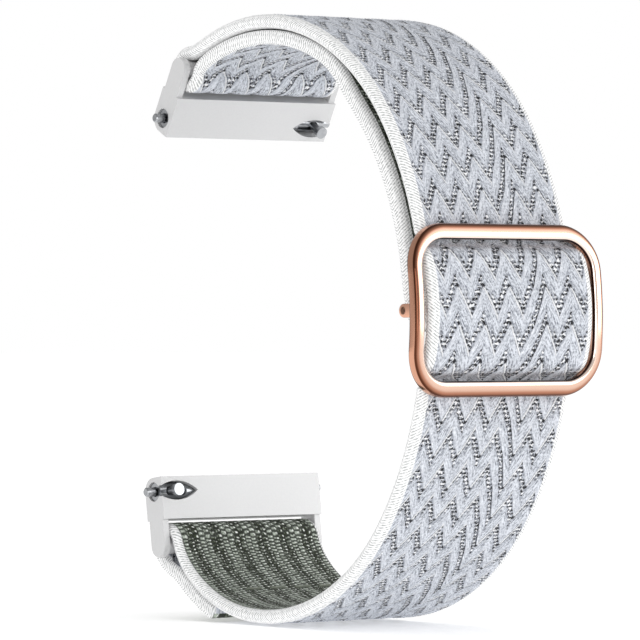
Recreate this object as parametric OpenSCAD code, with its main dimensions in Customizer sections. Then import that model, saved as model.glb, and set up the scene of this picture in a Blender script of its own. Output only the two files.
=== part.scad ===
// Elastic woven watch band with a sliding buckle and two quick-release end links.
// Z is up, X runs across the width of the band and the buckle faces -Y.
// The origin is midway between the axes of the two spring bars.

/* [Webbing] */
// Width of the woven webbing
web_w = 17.9; // [15:0.1:18]
// Thickness of one layer of webbing
web_t = 1.4; // [1.2:0.05:1.45]
// Width of the thinner rim along each selvedge
selvedge_w = 0.4; // [0.2:0.05:0.8]
// Drop of the rim below each face of the webbing
selvedge_step = 0.3; // [0.1:0.05:0.4]
// Distance between the middles of two layers that lie on each other
layer_pitch = 1.5; // [1.5:0.02:1.6]
// Length of the end that is folded back and sewn at the lower link
lower_tail_len = 10; // [8.5:0.5:11]
// Length of the end that is folded back and sewn at the buckle
loop_tail_len = 4.8; // [4.4:0.1:4.9]

/* [Loop] */
// Outer radius of the front of the loop, on which the buckle slides
front_outer_r = 32.8; // [31.5:0.1:34]
// Outer radius of the two shoulders
shoulder_outer_r = 24.2; // [23.5:0.1:25]
// Angle at which the front passes into the shoulders
front_half_angle = 36; // [36:0.5:40]
// Angle at which the upper shoulder passes into the upper end
upper_end_start = 112; // [106:1:113]
// Angle at which the lower shoulder passes into the lower end
lower_end_start = 97; // [95:1:101]
// Radius of the upper end, to the middle of the outer layer
upper_end_r = 16; // [15:0.5:18]
// Radius of the lower end, to the middle of the layer
lower_end_r = 17; // [16.4:0.2:18]
// Angle of the upper strap bar seen from the upper end's centre
upper_bar_angle = 125.5; // [125.5:0.5:128]
// Angle of the lower strap bar seen from the lower end's centre
lower_bar_angle = 142.6; // [140:0.2:144]
// Distance of the lower strap bar outside the middle of the layer
lower_bar_out = 0.8; // [0.6:0.1:1]
// Lean of the upper link from the horizontal
upper_link_lean = 62; // [59:1:64]
// Distance by which the upper spring bar lies further forward than the lower one
seat_lean = 1.5; // [0:0.1:1.8]

/* [Buckle] */
// Gap between the webbing and each side bar of the buckle
buckle_gap = 1.3; // [1.1:0.05:1.6]
// Outer height of the buckle along the band
buckle_h = 16.1; // [15.9:0.1:17]
// Depth of the buckle's ring
buckle_depth = 1.35; // [1.1:0.05:1.5]
// Height of the top and bottom bars
buckle_bar_h = 1.52; // [1.4:0.02:1.7]
// Width of the side bars
buckle_side_w = 1.15; // [0.9:0.05:1.4]
// Radius of the outer corners
buckle_corner_r = 4.3; // [3.5:0.1:4.5]
// Radius of the crossbar behind the ring, between its two ears
crossbar_r = 0.5; // [0.46:0.02:0.54]
// Position of the buckle on the front of the loop
buckle_angle = 1.4; // [0:0.1:2]

/* [End links] */
// Width of the arm at each side of the webbing, up to the lugs
arm_w = 0.7; // [0.65:0.05:0.8]
// Thickness of the end link
link_t = 2.8; // [2.7:0.05:3]
// Length of the barrel part from the slot to the far edge
barrel_len = 4.2; // [4.1:0.05:4.4]
// Distance from the strap bar to the spring bar
bar_spacing = 5.35; // [5.3:0.05:5.5]
// Radius of the strap bar
strap_bar_r = 0.8; // [0.7:0.02:0.8]
// Half thickness of the arms beside the webbing
arm_r = 1.1; // [1:0.05:1.2]
// Length of the leaf-shaped notch for the release peg
notch_len = 5.2; // [5:0.05:5.4]
// Width of the notch
notch_w = 1.9; // [1.8:0.05:2]

/* [Spring bars] */
// Outer radius of the spring bar's tube
tube_r = 0.89; // [0.86:0.01:0.9]
// Distance of each end of the tube inside the link
tube_recess = 0.2; // [0.15:0.05:0.3]
// Radius of the tips that enter the lugs
tip_r = 0.45; // [0.4:0.01:0.46]
// Length of each tip beyond the end of the link
tip_len = 1; // [0.8:0.05:1]
// Travel of the release peg
release_travel = 1.5; // [1.2:0.05:1.5]
// Radius of the release peg's head
peg_head_r = 0.6; // [0.5:0.02:0.62]
// Height of the release peg above the bar's axis
peg_reach = 2.4; // [2.2:0.1:3]
// Number of turns in the coil spring
spring_turns = 14; // [10:1:15]

/* [Sewing] */
// Length of one stitch
stitch_pitch = 1.5; // [1:0.1:2]
// Radius of the sewing thread
thread_r = 0.13; // [0.1:0.01:0.16]
// Distance of the stitches from the folded end at the lower link
lower_seam_inset = 1.5; // [1:0.1:2]
// Distance of the stitches from the folded end at the buckle
loop_seam_inset = 1; // [0.6:0.1:1.2]

/* [Hidden] */
$fn = 96;
arc_fn = 240;
small_fn = 48;
thread_fn = 24;
// Degrees times radius that one straight piece of a bend may span
chord_share = 70;

// Running clearances
bar_clear = 0.1;
side_clear = 0.15;
bore_clear = 0.06;
plunger_clear = 0.05;
ring_clear = 0.1;
loop_clear = 0.05;
face_gap = 0.03;
// How far the strap bar's hole cuts into the inside of the fold round it
fold_bite = 0.02;

// Widths that follow from the webbing
slot_w = web_w + 2 * side_clear;
link_w = slot_w + 2 * arm_w;
tube_len = link_w - 2 * tube_recess;
buckle_w = web_w + 2 * (buckle_gap + buckle_side_w);
// How far a cut runs past the faces that it opens
spill = 2;

// Middle radii of the single layer
front_r = front_outer_r - web_t / 2;
shoulder_r = shoulder_outer_r - web_t / 2;
wrap_r = strap_bar_r + bar_clear - fold_bite + web_t / 2;
loop_wrap_r = crossbar_r + loop_clear + web_t / 2;

function ray(a) = [cos(a), sin(a)];
function bearing(d) = atan2(d[1], d[0]);
function wrapped(a) = a - 360 * round(a / 360);
function square_of(v) = v * v;

// Side view seen from the front of the loop's arc: forward and up
upper_shoulder_0 = (front_r - shoulder_r) * ray(front_half_angle);
lower_shoulder_0 = (front_r - shoulder_r) * ray(-front_half_angle);
upper_end_0 = upper_shoulder_0 + (shoulder_r - upper_end_r) * ray(upper_end_start);
lower_end_0 = lower_shoulder_0 + (shoulder_r - lower_end_r) * ray(-lower_end_start);
upper_bar_0 = upper_end_0 + (upper_end_r - layer_pitch / 2) * ray(upper_bar_angle);
lower_bar_0 = lower_end_0 + (lower_end_r + lower_bar_out) * ray(-lower_bar_angle);
upper_link_dir = 180 + upper_link_lean;
upper_axis_0 = upper_bar_0 + bar_spacing * ray(upper_link_dir);
// The lower link leans so that its spring bar lies seat_lean behind the upper one
lower_link_dir = 180 - acos((lower_bar_0[0] - upper_axis_0[0] + seat_lean) / bar_spacing);
lower_axis_0 = lower_bar_0 + bar_spacing * ray(lower_link_dir);
seat_mid = (upper_axis_0 + lower_axis_0) / 2;

front_c = -seat_mid;
upper_shoulder_c = upper_shoulder_0 - seat_mid;
lower_shoulder_c = lower_shoulder_0 - seat_mid;
upper_end_c = upper_end_0 - seat_mid;
lower_end_c = lower_end_0 - seat_mid;
upper_bar_c = upper_bar_0 - seat_mid;
lower_bar_c = lower_bar_0 - seat_mid;

// Levels measured outward from the middle of the single layer
ring_back_v = web_t / 2 + ring_clear;
ring_front_v = ring_back_v + buckle_depth;
crossbar_v = -0.8;
crest_v = crossbar_v + loop_wrap_r + web_t + face_gap;
return_v = -2.6;
mid_low_span = 26;
mid_high_span = 34;
hump_half = 11.6;
shelf_half = 7.3;
shelf_v = 1.48;
loop_top_span = 14;
return_join_angle = 42;
layer_join_angle = 66;
sewn_pitch = web_t + 0.05;
seam_margin = 1.5;
thread_proud = 0.05;

// Angles of the end loop's fold round the crossbar
loop_level_span = 6.6;
loop_wrap_start = 200;
loop_wrap_end = 418;
loop_settle_span = 7.4;

// Angles of the folds round the strap bars
lower_fold_lead = 22;
lower_wrap_lead = 18;
lower_wrap_start = 180 - lower_bar_angle - lower_wrap_lead;
lower_tail_settle = 14;
upper_fold_lead = 13;
upper_wrap_lead = 34;

function at_front(a, v) = front_c + (front_r + v) * ray(a);
function span_of(s, r) = s * 180 / (PI * r);

// The middle point and heading between two stations joined by two arcs
function joint_of(p, h, q, k) =
    let (a = ray(h), b = ray(k), v = q - p, t = a + b, c = 1 - a * b)
    let (d = c < 0.00001 ? (v * v) / (4 * (v * b))
        : (sqrt(square_of(v * t) + 2 * c * (v * v)) - v * t) / (2 * c))
    (p + d * a + q - d * b) / 2;

// Turns a drawing of the side view, extruded along z, into the band's frame
module side_view() rotate([90, 0, 0]) rotate([0, -90, 0]) children();

// Stations along an arc round a centre; each is a point and a heading
function bend(c, r, from, to) =
    let (n = max(2, ceil(abs(to - from) * max(r, 2) / chord_share)), side = to > from ? 90 : -90)
    [for (i = [0 : n]) let (a = from + (to - from) * i / n) [c + r * ray(a), a + side]];

// Stations along the one arc that leaves a point on its heading and meets another point
function arc_to(p, h, q) =
    let (turn = 2 * wrapped(bearing(q - p) - h))
    abs(turn) < 0.4 ? [[p, bearing(q - p)], [q, bearing(q - p)]]
    : let (r = norm(q - p) / (2 * sin(turn / 2)), c = p + r * ray(h + 90))
        turn > 0 ? bend(c, r, h - 90, h - 90 + turn) : bend(c, -r, h + 90, h + 90 + turn);

// Stations from one station to the next along a smooth pair of arcs
function pair_to(a, b) =
    let (m = joint_of(a[0], a[1], b[0], b[1]), h = a[1] + 2 * wrapped(bearing(m - a[0]) - a[1]))
    concat(arc_to(a[0], a[1], m), arc_to(m, h, b[0]));

// Drops stations that repeat the one before
function thinned(s) =
    [for (i = [0 : len(s) - 1]) if (i == 0 || norm(s[i][0] - s[i - 1][0]) > 0.02) s[i]];

function outline(s, t) = concat(
    [for (i = [0 : len(s) - 1]) s[i][0] + t / 2 * ray(s[i][1] + 90)],
    [for (i = [len(s) - 1 : -1 : 0]) s[i][0] + t / 2 * ray(s[i][1] - 90)]);

// A stretch of webbing along its stations, thinner at the selvedges
module webbing(stations) {
    s = thinned(stations);
    translate([0, 0, selvedge_w - web_w / 2])
        linear_extrude(height = web_w - 2 * selvedge_w) polygon(outline(s, web_t));
    translate([0, 0, -web_w / 2])
        linear_extrude(height = web_w) polygon(outline(s, web_t - 2 * selvedge_step));
}

module round_bar_hole(c, r) translate([c[0], c[1], 0])
    cylinder(r = r, h = web_w + spill, center = true, $fn = small_fn);

module webbing_lower() color([0.80, 0.81, 0.87]) side_view() {
    lead = lower_fold_lead - lower_bar_angle;
    tail_r = lower_end_r + sewn_pitch;
    settle = lower_tail_settle - lower_bar_angle;
    difference() {
        webbing(concat(
            bend(front_c, front_r, buckle_angle - mid_low_span, -front_half_angle),
            bend(lower_shoulder_c, shoulder_r, -front_half_angle, -lower_end_start),
            bend(lower_end_c, lower_end_r, -lower_end_start, lead),
            pair_to([lower_end_c + lower_end_r * ray(lead), lead - 90],
                [lower_bar_c + wrap_r * ray(lower_wrap_start), lower_wrap_start + 90]),
            bend(lower_bar_c, wrap_r, lower_wrap_start, 360 - lower_bar_angle),
            pair_to([lower_bar_c + wrap_r * ray(-lower_bar_angle), 90 - lower_bar_angle],
                [lower_end_c + tail_r * ray(settle), settle + 90]),
            bend(lower_end_c, tail_r, settle, span_of(lower_tail_len, tail_r) - lower_bar_angle)
        ));
        round_bar_hole(lower_bar_c, strap_bar_r + bar_clear);
    }
}

module webbing_mid() color([0.78, 0.79, 0.86]) side_view() {
    rise = buckle_angle - hump_half;
    fall = buckle_angle + hump_half;
    crest = at_front(buckle_angle, crest_v);
    level = buckle_angle + 90;
    low = at_front(buckle_angle - shelf_half, shelf_v);
    high = at_front(buckle_angle + shelf_half, shelf_v);
    low_heading = 2 * bearing(crest - low) - level;
    webbing(concat(
        bend(front_c, front_r, buckle_angle - mid_low_span, rise),
        pair_to([at_front(rise, 0), rise + 90], [low, low_heading]),
        arc_to(low, low_heading, crest),
        arc_to(crest, level, high),
        pair_to([high, 2 * bearing(high - crest) - level], [at_front(fall, 0), fall + 90]),
        bend(front_c, front_r, fall, buckle_angle + mid_high_span)
    ));
}

module webbing_upper() color([0.80, 0.81, 0.87]) side_view() {
    lead = upper_bar_angle - upper_fold_lead;
    inner_end_r = upper_end_r - layer_pitch;
    inner_shoulder_r = shoulder_r - layer_pitch;
    wrap_from = upper_bar_angle - upper_wrap_lead;
    wrap_to = upper_bar_angle + 180 + upper_wrap_lead;
    difference() {
        webbing(concat(
            bend(front_c, front_r, buckle_angle + mid_high_span, front_half_angle),
            bend(upper_shoulder_c, shoulder_r, front_half_angle, upper_end_start),
            bend(upper_end_c, upper_end_r, upper_end_start, lead),
            pair_to([upper_end_c + upper_end_r * ray(lead), lead + 90],
                [upper_bar_c + wrap_r * ray(wrap_from), wrap_from + 90]),
            bend(upper_bar_c, wrap_r, wrap_from, wrap_to),
            pair_to([upper_bar_c + wrap_r * ray(wrap_to), wrap_to + 90],
                [upper_end_c + inner_end_r * ray(lead), lead - 90]),
            bend(upper_end_c, inner_end_r, lead, upper_end_start),
            bend(upper_shoulder_c, inner_shoulder_r, upper_end_start, layer_join_angle),
            pair_to(
                [upper_shoulder_c + inner_shoulder_r * ray(layer_join_angle), layer_join_angle - 90],
                [upper_shoulder_c + (shoulder_r + return_v) * ray(return_join_angle),
                    return_join_angle - 90])
        ));
        round_bar_hole(upper_bar_c, strap_bar_r + bar_clear);
    }
}

module webbing_return() color([0.62, 0.66, 0.60]) side_view()
    webbing(concat(
        bend(upper_shoulder_c, shoulder_r + return_v, return_join_angle, front_half_angle),
        bend(front_c, front_r + return_v, front_half_angle, buckle_angle + loop_top_span)
    ));

module webbing_end_loop() color([0.62, 0.66, 0.60]) side_view() {
    top = buckle_angle + loop_top_span;
    level = buckle_angle + loop_level_span;
    bar_c = at_front(buckle_angle, crossbar_v);
    from = buckle_angle + loop_wrap_start;
    to = buckle_angle + loop_wrap_end;
    tail_v = return_v + sewn_pitch;
    settle = buckle_angle + loop_settle_span;
    tail_end = buckle_angle + span_of(loop_tail_len, front_r + tail_v);
    difference() {
        webbing(concat(
            bend(front_c, front_r + return_v, top, level),
            pair_to([at_front(level, return_v), level - 90],
                [bar_c + loop_wrap_r * ray(from), from + 90]),
            bend(bar_c, loop_wrap_r, from, to),
            pair_to([bar_c + loop_wrap_r * ray(to), to + 90],
                [at_front(settle, tail_v), settle + 90]),
            bend(front_c, front_r + tail_v, settle, tail_end)
        ));
        round_bar_hole(bar_c, crossbar_r + loop_clear);
    }
}

// One row of running stitch across the webbing, sewn through two layers
module stitch_row(levels) {
    count = floor((web_w - 2 * seam_margin) / stitch_pitch / 2) * 2;
    start = -count * stitch_pitch / 2;
    for (i = [0 : count]) {
        translate([levels[0], 0, start + i * stitch_pitch]) rotate([0, 90, 0])
            cylinder(r = thread_r, h = levels[1] - levels[0], $fn = thread_fn);
        if (i < count)
            translate([levels[i % 2], 0, start + i * stitch_pitch - thread_r])
                cylinder(r = thread_r, h = stitch_pitch + 2 * thread_r, $fn = thread_fn);
    }
}

module lower_end_seam() color([0.93, 0.93, 0.92]) side_view() {
    angle = span_of(lower_tail_len - lower_seam_inset, lower_end_r) - lower_bar_angle;
    inner = lower_end_r - web_t / 2 - thread_proud;
    outer = lower_end_r + sewn_pitch + web_t / 2 + thread_proud;
    translate([lower_end_c[0], lower_end_c[1], 0]) rotate([0, 0, angle])
        stitch_row([inner, outer]);
}

module end_loop_seam() color([0.93, 0.93, 0.92]) side_view() {
    angle = buckle_angle + span_of(loop_tail_len - loop_seam_inset, front_r);
    inner = front_r + return_v - web_t / 2 - thread_proud;
    outer = front_r + return_v + sewn_pitch + web_t / 2 + thread_proud;
    translate([front_c[0], front_c[1], 0]) rotate([0, 0, angle])
        stitch_row([inner, outer]);
}

// Outline of the ring seen from the front, as an upright prism
module rounded_block(w, h, r, reach) {
    translate([0, -h / 2, -w / 2 + r]) cube([reach, h, w - 2 * r]);
    translate([0, -h / 2 + r, -w / 2]) cube([reach, h - 2 * r, w]);
    for (i = [-1, 1], j = [-1, 1])
        translate([0, i * (h / 2 - r), j * (w / 2 - r)]) rotate([0, 90, 0])
            cylinder(r = r, h = reach);
}

corner_drop = 1.4;

module at_buckle() side_view()
    translate([front_c[0], front_c[1], 0]) rotate([0, 0, buckle_angle])
    translate([front_r, 0, 0]) children();

// Ear behind each side bar that holds one end of the crossbar
ear_r = 0.64;
ear_inset = 0.75;
ear_len = 0.7;
ear_bed = 0.3;
ear_out_z = buckle_w / 2 - ear_inset;
ear_in_z = ear_out_z - ear_len;
// Reach of the ring's outline to each side of the front's radius
ring_reach = 6;
crossbar_pin_r = 0.36;

module crossbar_ear() {
    translate([crossbar_v, 0, ear_in_z]) cylinder(r = ear_r, h = ear_len, $fn = small_fn);
    translate([crossbar_v, -ear_r, ear_in_z])
        cube([ring_back_v + ear_bed - crossbar_v, 2 * ear_r, ear_len]);
}

module ring_band(r, h) translate([-front_r, 0, 0])
    cylinder(r = r, h = h, center = true, $fn = arc_fn);

module buckle_frame() color([0.80, 0.55, 0.45]) at_buckle() difference() {
    union() {
        difference() {
            intersection() {
                difference() {
                    ring_band(front_r + ring_front_v, buckle_w + spill);
                    ring_band(front_r + ring_back_v, buckle_w + 2 * spill);
                }
                translate([-ring_reach, 0, 0])
                    rounded_block(buckle_w, buckle_h, buckle_corner_r, 2 * ring_reach);
            }
            translate([-ring_reach - spill, 0, 0])
                rounded_block(buckle_w - 2 * buckle_side_w, buckle_h - 2 * buckle_bar_h,
                    buckle_corner_r - corner_drop, 2 * (ring_reach + spill));
        }
        crossbar_ear();
        mirror([0, 0, 1]) crossbar_ear();
    }
    translate([crossbar_v, 0, 0])
        cylinder(r = crossbar_pin_r, h = buckle_w, center = true, $fn = small_fn);
}

module buckle_crossbar() color([0.80, 0.55, 0.45]) at_buckle() translate([crossbar_v, 0, 0]) {
    cylinder(r = crossbar_r, h = 2 * ear_in_z, center = true, $fn = small_fn);
    cylinder(r = crossbar_pin_r, h = 2 * ear_out_z, center = true, $fn = small_fn);
}

// The link and the spring bar are drawn with x from the strap bar to the
// spring bar, y towards the wrist and z across the width
module on_upper() side_view()
    translate([upper_bar_c[0], upper_bar_c[1], 0]) rotate([0, 0, upper_link_dir]) children();

module on_lower() side_view()
    translate([lower_bar_c[0], lower_bar_c[1], 0]) rotate([0, 0, lower_link_dir])
    rotate([180, 0, 0]) children();

notch_overrun = 0.8;

module notch() {
    leaf_r = (square_of(notch_len) + square_of(notch_w)) / (4 * notch_w);
    leaf_z = notch_len / 2 - notch_overrun - link_w / 2;
    intersection_for(i = [-1, 1])
        translate([bar_spacing + i * (leaf_r - notch_w / 2), 0, leaf_z]) rotate([-90, 0, 0])
            cylinder(r = leaf_r, h = link_t, $fn = arc_fn);
}

module end_link() {
    far_x = bar_spacing + link_t / 2;
    slot_x = far_x - barrel_len;
    difference() {
        union() {
            translate([slot_x, 0, -link_w / 2]) cube([barrel_len, link_t / 2, link_w]);
            translate([slot_x, -link_t / 2, -link_w / 2])
                cube([bar_spacing - slot_x, link_t, link_w]);
            translate([bar_spacing, 0, 0]) cylinder(r = link_t / 2, h = link_w, center = true);
            for (i = [-1, 1]) translate([0, 0, i * (link_w - arm_w) / 2]) {
                cylinder(r = arm_r, h = arm_w, center = true);
                translate([0, -arm_r, -arm_w / 2]) cube([bar_spacing / 2, 2 * arm_r, arm_w]);
            }
            cylinder(r = strap_bar_r, h = link_w - arm_w, center = true, $fn = small_fn);
        }
        translate([bar_spacing, 0, 0])
            cylinder(r = tube_r + bore_clear, h = link_w + spill, center = true, $fn = small_fn);
        notch();
    }
}

module upper_link() color([0.86, 0.86, 0.87]) on_upper() end_link();
module lower_link() color([0.86, 0.86, 0.87]) on_lower() end_link();

// Spring bar: the release peg is at the end where z is negative
tip_reach = link_w / 2 + tip_len;
tip_bevel = 0.12;
neck_step = 0.17;
neck_r = tip_r - neck_step;
bore_r = 0.67;
mouth_r = tip_r + plunger_clear;
mouth_len = 0.5;
body_len = 3.5;
body_z = tube_len / 2 - mouth_len - face_gap;
peg_r = 0.4;
peg_head_h = 0.5;
rivet_r = 0.28;
rivet_foot = 0.5;
peg_inset = 1.2;
peg_z = peg_inset - tube_len / 2;
slot_half_w = peg_r + plunger_clear;

module at_bar() translate([bar_spacing, 0, 0]) children();

module bar_tube() at_bar() difference() {
    cylinder(r = tube_r, h = tube_len, center = true, $fn = small_fn);
    cylinder(r = bore_r, h = tube_len - 2 * mouth_len, center = true, $fn = small_fn);
    cylinder(r = mouth_r, h = tube_len + spill, center = true, $fn = small_fn);
    translate([-slot_half_w, 0, peg_z]) cube([2 * slot_half_w, 2, release_travel + 0.1]);
    for (i = [-0.05, release_travel + 0.05])
        translate([0, 0, peg_z + i]) rotate([-90, 0, 0])
            cylinder(r = slot_half_w, h = 2, $fn = small_fn);
}

module plunger(turned) at_bar() rotate([turned ? 180 : 0, 0, 0]) {
    translate([0, 0, -tip_reach])
        cylinder(r1 = tip_r - tip_bevel, r2 = tip_r, h = tip_bevel, $fn = small_fn);
    translate([0, 0, tip_bevel - tip_reach])
        cylinder(r = tip_r, h = tip_len - tip_bevel - face_gap, $fn = small_fn);
    translate([0, 0, tip_bevel - tip_reach])
        cylinder(r = neck_r, h = tip_reach - tip_bevel - body_z + 0.1, $fn = small_fn);
    translate([0, 0, -body_z])
        cylinder(r = bore_r - plunger_clear, h = body_len, $fn = small_fn);
}

module release_plunger() difference() {
    plunger(false);
    at_bar() translate([0, -2, peg_z]) rotate([-90, 0, 0]) cylinder(r = rivet_r, h = 4, $fn = small_fn);
}

module release_knob() at_bar() translate([0, 0, peg_z]) rotate([-90, 0, 0]) {
    translate([0, 0, -rivet_foot]) cylinder(r = rivet_r, h = rivet_foot + 1, $fn = small_fn);
    translate([0, 0, bore_r - plunger_clear])
        cylinder(r = peg_r, h = peg_reach - peg_head_h / 2 - bore_r, $fn = small_fn);
    translate([0, 0, peg_reach - peg_head_h]) cylinder(r = peg_head_r, h = peg_head_h, $fn = small_fn);
}

// Coil spring swept along a helix
wire_r = 0.1;
coil_r = 0.45;
coil_steps = 8;
wire_sides = 6;
coil_half = body_z - body_len - face_gap - wire_r;

function coil_ring(i) =
    let (n = spring_turns * coil_steps, a = 360 * i / coil_steps, z = coil_half * (2 * i / n - 1))
    [for (k = [0 : wire_sides - 1]) let (b = 360 * k / wire_sides, r = coil_r + wire_r * cos(b))
        [r * cos(a), r * sin(a), z + wire_r * sin(b)]];

module bar_spring() at_bar() {
    n = spring_turns * coil_steps;
    points = [for (i = [0 : n]) each coil_ring(i)];
    sides = [for (i = [0 : n - 1], k = [0 : wire_sides - 1])
        let (a = i * wire_sides, b = a + wire_sides, m = (k + 1) % wire_sides)
        each [[a + k, b + k, b + m], [a + k, b + m, a + m]]];
    near = [for (k = [0 : wire_sides - 1]) k];
    far = [for (k = [wire_sides - 1 : -1 : 0]) n * wire_sides + k];
    polyhedron(points = points, faces = concat(sides, [near, far]), convexity = 10);
}

module upper_bar_tube() color([0.75, 0.76, 0.78]) on_upper() bar_tube();
module upper_release_plunger() color([0.68, 0.69, 0.71]) on_upper() release_plunger();
module upper_release_knob() color([0.80, 0.81, 0.83]) on_upper() release_knob();
module upper_plain_plunger() color([0.68, 0.69, 0.71]) on_upper() plunger(true);
module upper_bar_spring() color([0.55, 0.56, 0.58]) on_upper() bar_spring();
module lower_bar_tube() color([0.75, 0.76, 0.78]) on_lower() bar_tube();
module lower_release_plunger() color([0.68, 0.69, 0.71]) on_lower() release_plunger();
module lower_release_knob() color([0.80, 0.81, 0.83]) on_lower() release_knob();
module lower_plain_plunger() color([0.68, 0.69, 0.71]) on_lower() plunger(true);
module lower_bar_spring() color([0.55, 0.56, 0.58]) on_lower() bar_spring();

webbing_lower();
webbing_mid();
webbing_upper();
webbing_return();
webbing_end_loop();
lower_end_seam();
end_loop_seam();
buckle_frame();
buckle_crossbar();
upper_link();
upper_bar_tube();
upper_release_plunger();
upper_release_knob();
upper_plain_plunger();
upper_bar_spring();
lower_link();
lower_bar_tube();
lower_release_plunger();
lower_release_knob();
lower_plain_plunger();
lower_bar_spring();
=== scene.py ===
"""Elastic woven watch band: chevron webbing, polished sliding buckle and end links."""

import math
import bmesh
import bpy
import numpy as np
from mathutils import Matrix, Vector


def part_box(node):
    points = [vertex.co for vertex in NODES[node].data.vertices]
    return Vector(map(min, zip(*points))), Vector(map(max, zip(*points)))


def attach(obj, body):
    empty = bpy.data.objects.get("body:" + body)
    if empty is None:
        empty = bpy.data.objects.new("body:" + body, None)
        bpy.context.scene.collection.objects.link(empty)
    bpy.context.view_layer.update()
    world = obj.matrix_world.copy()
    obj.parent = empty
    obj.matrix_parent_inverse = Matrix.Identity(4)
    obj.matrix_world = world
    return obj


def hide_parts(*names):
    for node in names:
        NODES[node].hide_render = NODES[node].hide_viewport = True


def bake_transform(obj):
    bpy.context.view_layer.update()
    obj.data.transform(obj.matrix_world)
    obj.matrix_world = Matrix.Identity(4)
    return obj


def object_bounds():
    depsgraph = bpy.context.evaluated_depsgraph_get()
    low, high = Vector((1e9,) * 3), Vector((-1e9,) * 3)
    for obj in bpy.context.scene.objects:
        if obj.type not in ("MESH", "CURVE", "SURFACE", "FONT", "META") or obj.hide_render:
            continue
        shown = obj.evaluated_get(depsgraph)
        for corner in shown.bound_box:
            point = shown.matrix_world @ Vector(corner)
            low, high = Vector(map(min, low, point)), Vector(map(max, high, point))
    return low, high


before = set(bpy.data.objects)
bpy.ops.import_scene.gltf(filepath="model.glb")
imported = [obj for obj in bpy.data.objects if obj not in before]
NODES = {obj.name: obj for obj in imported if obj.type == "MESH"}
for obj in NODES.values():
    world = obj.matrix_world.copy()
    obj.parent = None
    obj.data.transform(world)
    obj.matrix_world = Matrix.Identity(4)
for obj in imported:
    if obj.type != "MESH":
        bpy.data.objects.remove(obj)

cad_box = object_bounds()
MM = 0.001

# The band's sizes, in mm
WEB_W = 17.9
CLOTH_T = 1.36
LAYER_PITCH = 1.5
SEWN_PITCH = 1.45
FRONT_R = 32.1
SHOULDER_R = 23.5
UPPER_END_R = 16.0
LOWER_END_R = 17.0
FRONT_HALF = 36
UPPER_END_START = 112
LOWER_END_START = 97
UPPER_BAR_ANGLE = 125.5
LOWER_BAR_ANGLE = 142.6
LOWER_BAR_OUT = 0.8
UPPER_LINK_LEAN = 62
SEAT_LEAN = 1.5
BAR_SPACING = 5.35
WRAP_R = 1.58
BUCKLE_ANGLE = 1.4
BUCKLE_W = 22.8
BUCKLE_H = 16.1
BUCKLE_BAR_H = 1.52
BUCKLE_SIDE_W = 1.15
BUCKLE_CORNER_R = 4.3
CORNER_DROP = 1.4
SQUARENESS = 3.0
RING_BACK = 0.8
RING_DEPTH = 1.35
CROSSBAR_V = -0.8
LOOP_WRAP_R = 1.25
CREST_V = 1.88
SHELF_V = 1.48
SHELF_HALF = 7.3
HUMP_HALF = 11.6
RETURN_V = -2.6
TAIL_LEN = 10.0
LOOP_TAIL_LEN = 4.8
LOWER_FOLD_LEAD = 22
LOWER_WRAP_LEAD = 18
LOWER_TAIL_SETTLE = 14
UPPER_FOLD_LEAD = 13
UPPER_WRAP_LEAD = 34
LAYERS_PART_AT = 66
LAYERS_APART_AT = 42
LOOP_LEVEL_SPAN = 6.6
LOOP_SETTLE_SPAN = 7.4
LOOP_WRAP_START = 200
LOOP_WRAP_END = 418
EAR_R = 0.64
EAR_IN_X = 9.95
EAR_OUT_X = 10.65
EAR_BED = 0.3
EAR_BEVEL = 0.12


# The run of the webbing
def ray(angle):
    return np.array([math.cos(math.radians(angle)), math.sin(math.radians(angle))])


def bearing(step):
    return math.degrees(math.atan2(step[1], step[0]))


def wrapped(angle):
    return angle - 360 * round(angle / 360)


def bend(centre, r, start, stop):
    """Stations along an arc: points with the heading of travel."""
    count = max(2, math.ceil(abs(stop - start) * max(r, 1.5) / 12))
    side = 90 if stop > start else -90
    angles = [start + (stop - start) * i / count for i in range(count + 1)]
    return [(centre + r * ray(a), a + side) for a in angles]


def arc_to(p, heading, q):
    turn = 2 * wrapped(bearing(q - p) - heading)
    if abs(turn) < 0.4:
        return [(p, bearing(q - p)), (q, bearing(q - p))]
    r = np.linalg.norm(q - p) / (2 * math.sin(math.radians(turn / 2)))
    centre = p + r * ray(heading + 90)
    if turn > 0:
        return bend(centre, r, heading - 90, heading - 90 + turn)
    return bend(centre, -r, heading + 90, heading + 90 + turn)


def pair_to(here, there):
    """Two arcs that lead smoothly from one station to the other."""
    (p, h), (q, k) = here, there
    a, b, v = ray(h), ray(k), q - p
    t, c = a + b, 1 - a @ b
    if c < 1e-5:
        d = (v @ v) / (4 * (v @ b))
    else:
        d = (math.sqrt((v @ t) ** 2 + 2 * c * (v @ v)) - v @ t) / (2 * c)
    m = (p + d * a + q - d * b) / 2
    return arc_to(p, h, m) + arc_to(m, h + 2 * wrapped(bearing(m - p) - h), q)


upper_shoulder = (FRONT_R - SHOULDER_R) * ray(FRONT_HALF)
lower_shoulder = (FRONT_R - SHOULDER_R) * ray(-FRONT_HALF)
upper_end = upper_shoulder + (SHOULDER_R - UPPER_END_R) * ray(UPPER_END_START)
lower_end = lower_shoulder + (SHOULDER_R - LOWER_END_R) * ray(-LOWER_END_START)
upper_bar = upper_end + (UPPER_END_R - LAYER_PITCH / 2) * ray(UPPER_BAR_ANGLE)
lower_bar = lower_end + (LOWER_END_R + LOWER_BAR_OUT) * ray(-LOWER_BAR_ANGLE)
upper_axis = upper_bar + BAR_SPACING * ray(180 + UPPER_LINK_LEAN)
LOWER_LINK_DIR = 180 - math.degrees(
    math.acos((lower_bar[0] - upper_axis[0] + SEAT_LEAN) / BAR_SPACING))
lower_axis = lower_bar + BAR_SPACING * ray(LOWER_LINK_DIR)
FRONT_C = -(upper_axis + lower_axis) / 2
UPPER_SHOULDER_C = upper_shoulder + FRONT_C
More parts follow.
